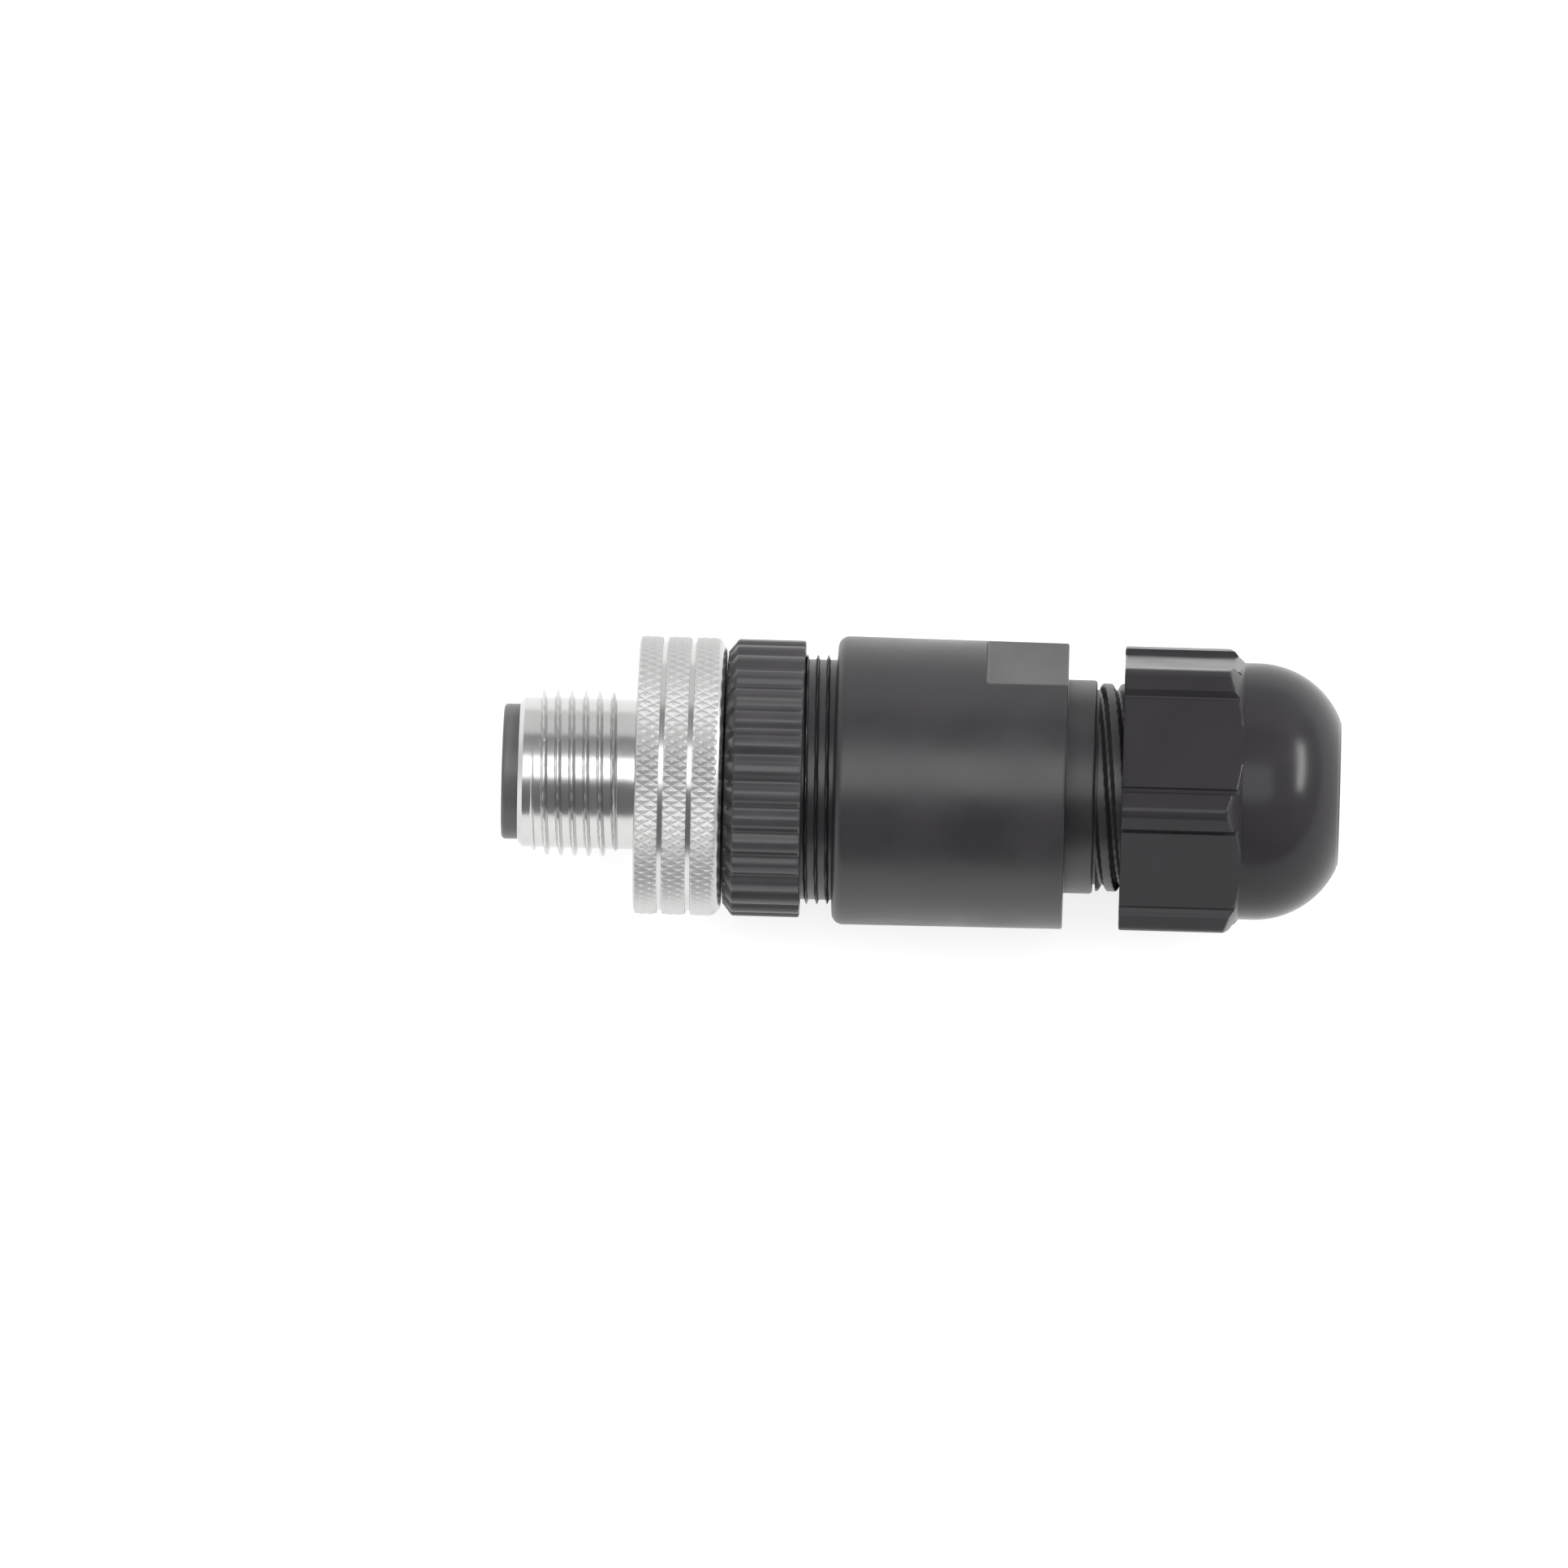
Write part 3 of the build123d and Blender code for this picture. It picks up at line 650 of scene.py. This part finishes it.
def add_materials():
    """One material for each slot of the record, and for the collar a lighter copy of the body's plastic, a
    painted highlight on its ribs.
    """
    nickel = surface("bright_nickel", (0.63, 0.63, 0.625), (0.18, 0.25), 420, 2600, 3.0e-6, 0.04, 1.0)
    return {
        # Knurl: rougher, and painted lighter as a glint
        "nickel_plate": frost_and_glint(nickel, FROST_AND_GLINT_FROM, GLINT_COLOUR, FROST_ROUGHNESS),
        "grip_plastic": surface(
            "grip_polyamide", (0.034, 0.031, 0.035), (0.29, 0.43), 170, 5200, 5.0e-6, 0.14, shine=0.7),
        # Collar: the body's plastic painted lighter, as a highlight on its ribs
        "collar": surface(
            "collar_polyamide_painted_highlight", (0.060, 0.056, 0.061), (0.29, 0.38), 300, 5200, 4.0e-6, 0.10, shine=0.6),
        "nut_plastic": surface(
            "nut_polyamide", (0.040, 0.037, 0.041), (0.20, 0.26), 260, 4200, 2.0e-6, 0.06, shine=0.24),
        "insert_plastic": surface(
            "insert_polyamide", (0.145, 0.140, 0.145), (0.30, 0.40), 350, 5000, 4.0e-6, 0.10),
        "seal_rubber": surface(
            "seal_rubber", (0.085, 0.082, 0.088), (0.60, 0.75), 400, 6000, 6.0e-6, 0.12),
        "contact_gold": surface(
            "contact_gold", (0.83, 0.62, 0.25), (0.16, 0.26), 500, 4000, 2.0e-6, 0.06, 1.0),
        "spring_steel": surface(
            "spring_steel", (0.55, 0.55, 0.56), (0.29, 0.38), 500, 4000, 3.0e-6, 0.06, 1.0),
        "screw_steel": surface(
            "screw_steel", (0.66, 0.66, 0.66), (0.29, 0.37), 500, 4000, 3.0e-6, 0.06, 1.0),
    }


def dress(materials, pieces):
    """Give the pieces and the carried-over CAD nodes the material of their slot."""
    for piece, slot in pieces:
        piece.data.materials.clear()
        piece.data.materials.append(materials[slot])
    for part in frame["record"]["subparts"]:
        node = frame["nodes"][part["node"]]
        for index in range(len(node.material_slots)):
            node.material_slots[index].material = materials[part["material_slot"]]


# Light, floor and background

# Softbox over the connector, a little towards the camera and the plug's end
LAMP_TILT = radians(-13)
LAMP_SIDEWAYS = -0.20
LAMP_CENTRE = Vector((0.025, 0, 0))
LAMP_DISTANCE = 1.0
LAMP_SIZE = (1.30, 0.60)
LAMP_POWER = 4.1
# Second lamp beyond the cable end, seen in the dome: along X, up in the photograph, to the camera
SIDE_LAMP = (0.84, 0.33, 0.43)
SIDE_LAMP_SIZE = (0.14, 0.62)
SIDE_LAMP_POWER = 5.4
FLOOR_LEVEL = -10.345
FLOOR_SIDE = 6.0
FLOOR_COLOUR = (0.45, 0.45, 0.45, 1)
FLOOR_GLOW = 0.80
# Light of the sky on matt surfaces, from the photograph's lower side to its upper side
SKY_FOR_SURFACES = (0.26, 0.60)


def ray_kind(nodes, links):
    """1 for a ray from the camera, from a mirror-like surface or through glass."""
    path = nodes.new("ShaderNodeLightPath")
    most = path.outputs["Is Camera Ray"]
    for name in ("Is Glossy Ray", "Is Transmission Ray"):
        larger = nodes.new("ShaderNodeMath")
        larger.operation = "MAXIMUM"
        links.new(most, larger.inputs[0])
        links.new(path.outputs[name], larger.inputs[1])
        most = larger.outputs[0]
    return path, most


def add_floor():
    bpy.ops.mesh.primitive_plane_add(size=FLOOR_SIDE, location=(0, 0, FLOOR_LEVEL * MM))
    floor = bpy.context.object
    floor.name = "floor"
    material, nodes, links, shader = new_material("floor_white")
    shader.inputs["Base Color"].default_value = FLOOR_COLOUR
    shader.inputs["Roughness"].default_value = 0.9
    shader.inputs["Specular IOR Level"].default_value = 0.0
    shader.inputs["Emission Color"].default_value = (1, 1, 1, 1)
    path, seen = ray_kind(nodes, links)
    glow = nodes.new("ShaderNodeMath")
    glow.operation = "MULTIPLY"
    glow.inputs[1].default_value = FLOOR_GLOW
    links.new(seen, glow.inputs[0])
    links.new(glow.outputs[0], shader.inputs["Emission Strength"])
    floor.data.materials.append(material)


def add_lamp(name, towards, size, power):
    """Softbox at the given direction from the part, its first side along the X axis."""
    data = bpy.data.lights.new(name, "AREA")
    data.shape = "RECTANGLE"
    data.size, data.size_y = size
    data.energy = power
    lamp = bpy.data.objects.new(name, data)
    back = Vector(towards).normalized()
    across = Vector((0, 1, 0)).cross(back).normalized()
    lamp.matrix_world = Matrix.Translation(LAMP_CENTRE + back * LAMP_DISTANCE) @ Matrix((
        across, back.cross(across), back)).transposed().to_4x4()
    bpy.context.collection.objects.link(lamp)


# Studio as the round plug shows it: angle on the plug from facing the camera up towards the
# photograph's upper edge, in degrees, and brightness of what is reflected there
STUDIO = [(-79, 0.76), (-42.6, 0.80), (-41.0, 0.18), (-6.6, 0.20), (-4.6, 0.50), (12.3, 0.52), (14.8, 0.50),
          (27.5, 0.32), (29.5, 0.32), (31.5, 0.84), (100, 0.84)]
# Brightness towards the plug's end and towards the cable's end, and the part of the way where it starts
STUDIO_ENDS = (0.75, 0.30)
STUDIO_END_FROM = (0.60, 0.80)


def add_world():
    world = bpy.data.worlds.new("studio")
    bpy.context.scene.world = world
    world.use_nodes = True
    nodes, links = world.node_tree.nodes, world.node_tree.links
    background = nodes["Background"]
    place = nodes.new("ShaderNodeTexCoord")
    split = nodes.new("ShaderNodeSeparateXYZ")
    links.new(place.outputs["Generated"], split.inputs[0])
    angle = nodes.new("ShaderNodeMath")
    angle.operation = "ARCTAN2"
    links.new(split.outputs["Y"], angle.inputs[0])
    links.new(split.outputs["Z"], angle.inputs[1])
    turn = nodes.new("ShaderNodeMapRange")
    turn.inputs["From Min"].default_value = -pi
    turn.inputs["From Max"].default_value = pi
    links.new(angle.outputs[0], turn.inputs["Value"])
    ramp = nodes.new("ShaderNodeValToRGB")
    elements = ramp.color_ramp.elements
    elements[0].position, elements[-1].position = 0.0, 1.0
    for seen_at, bright in STUDIO[1:-1]:
        elements.new(0.5 + (2 * seen_at - degrees(VIEW_TILT)) / 360)
    for element, (seen_at, bright) in zip(elements, STUDIO):
        element.color = (bright, bright, bright, 1)
    links.new(turn.outputs["Result"], ramp.inputs["Fac"])
    colour = ramp.outputs["Color"]
    for sign, bright in zip((-1, 1), STUDIO_ENDS):
        towards = nodes.new("ShaderNodeMapRange")
        towards.inputs["From Min"].default_value = sign * STUDIO_END_FROM[0]
        towards.inputs["From Max"].default_value = sign * STUDIO_END_FROM[1]
        links.new(split.outputs["X"], towards.inputs["Value"])
        end = nodes.new("ShaderNodeMix")
        end.data_type = "RGBA"
        end.inputs[7].default_value = (bright, bright, bright, 1)
        links.new(towards.outputs["Result"], end.inputs["Factor"])
        links.new(colour, end.inputs[6])
        colour = end.outputs[2]
    path, seen = ray_kind(nodes, links)
    mirror = nodes.new("ShaderNodeMix")
    mirror.data_type = "RGBA"
    mirror.inputs[6].default_value = (1, 1, 1, 1)
    links.new(path.outputs["Is Glossy Ray"], mirror.inputs["Factor"])
    links.new(colour, mirror.inputs[7])
    choose = nodes.new("ShaderNodeMix")
    choose.data_type = "RGBA"
    sky = nodes.new("ShaderNodeMapRange")
    sky.inputs["From Min"].default_value = -1.0
    sky.inputs["To Min"].default_value, sky.inputs["To Max"].default_value = SKY_FOR_SURFACES
    links.new(split.outputs["Y"], sky.inputs["Value"])
    links.new(sky.outputs["Result"], choose.inputs[6])
    links.new(seen, choose.inputs["Factor"])
    links.new(mirror.outputs[2], choose.inputs[7])
    links.new(choose.outputs[2], background.inputs["Color"])


pieces = [
    (coupling_ring(), "nickel_plate"),
    # The collar takes the lighter copy of the body's plastic, a painted highlight
    (ribbed_collar(), "collar"),
    (housing(), "grip_plastic"),
    (gland_nut(), "nut_plastic"),
]
dress(add_materials(), pieces)
add_floor()
add_lamp("softbox", (LAMP_SIDEWAYS, sin(LAMP_TILT), cos(LAMP_TILT)), LAMP_SIZE, LAMP_POWER)
along, rise, near = SIDE_LAMP
add_lamp("side_lamp", (
    along,
    rise * cos(VIEW_TILT) - near * sin(VIEW_TILT),
    rise * sin(VIEW_TILT) + near * cos(VIEW_TILT)), SIDE_LAMP_SIZE, SIDE_LAMP_POWER)
add_world()
